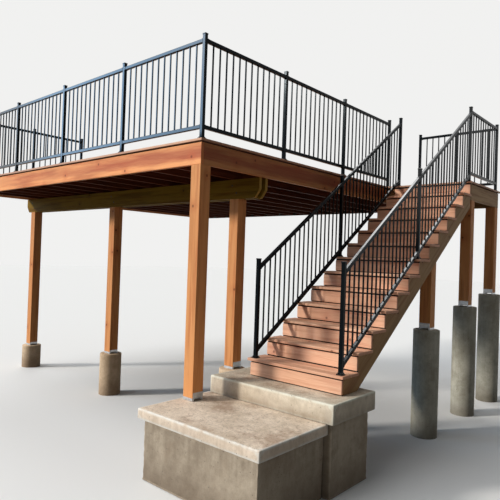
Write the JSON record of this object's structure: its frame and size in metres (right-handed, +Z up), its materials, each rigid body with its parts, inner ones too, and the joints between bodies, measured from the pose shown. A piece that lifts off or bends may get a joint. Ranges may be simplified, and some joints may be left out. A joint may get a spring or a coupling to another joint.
{
  "type": "wooden deck stairs",
  "caption": "Raised wooden deck on posts and concrete piers, with a straight flight of steps, a side landing and black metal railings.",
  "frame": {"origin": "centre of the bounding box's bottom, at the lowest ground under the piers", "axes": "+X along the house to the stair side, +Y from the deck's free front to the house wall, the way a person climbs, +Z up"},
  "size_m": [6.957, 5.812, 4.292],
  "materials": {
    "wood_board": "satin",
    "wood_frame": "satin",
    "wood_treated": "matte",
    "concrete": "matte",
    "black_metal": "satin",
    "galvanised": "satin"
  },
  "bodies": {
    "root": {"stair_pad": "concrete", "stair_pad_footing": "concrete", "walk_slab": "concrete", "walk_slab_footing": "concrete", "front_piers": "concrete", "stair_piers": "concrete", "post_bases": "galvanised", "post_front_left": "wood_frame", "post_front_middle": "wood_frame", "post_front_right": "wood_frame", "post_corner": "wood_frame", "post_stair": "wood_frame", "post_landing_front": "wood_frame", "post_landing_back": "wood_frame", "front_beam_outer": "wood_treated", "front_beam_inner": "wood_treated", "rim_front": "wood_frame", "rim_right": "wood_frame", "rim_left": "wood_frame", "house_ledger": "wood_treated", "deck_joists": "wood_treated", "deck_boards": "wood_board", "landing_rim_front": "wood_frame", "landing_rim_right": "wood_frame", "landing_rim_back": "wood_frame", "landing_joists": "wood_treated", "landing_boards": "wood_board", "stringer_left": "wood_frame", "stringer_middle": "wood_treated", "stringer_right": "wood_frame", "stair_treads": "wood_board", "riser_boards": "wood_board", "rail_posts_front": "black_metal", "rail_panels_front": "black_metal", "rail_posts_right": "black_metal", "rail_panels_right": "black_metal", "rail_posts_left": "black_metal", "rail_panels_left": "black_metal", "rail_posts_landing": "black_metal", "rail_panel_landing_side": "black_metal", "rail_panel_landing_back": "black_metal", "stair_rail_posts_left": "black_metal", "stair_rail_posts_right": "black_metal", "stair_rail_left": "black_metal", "stair_rail_right": "black_metal"}
  },
  "joints": []
}
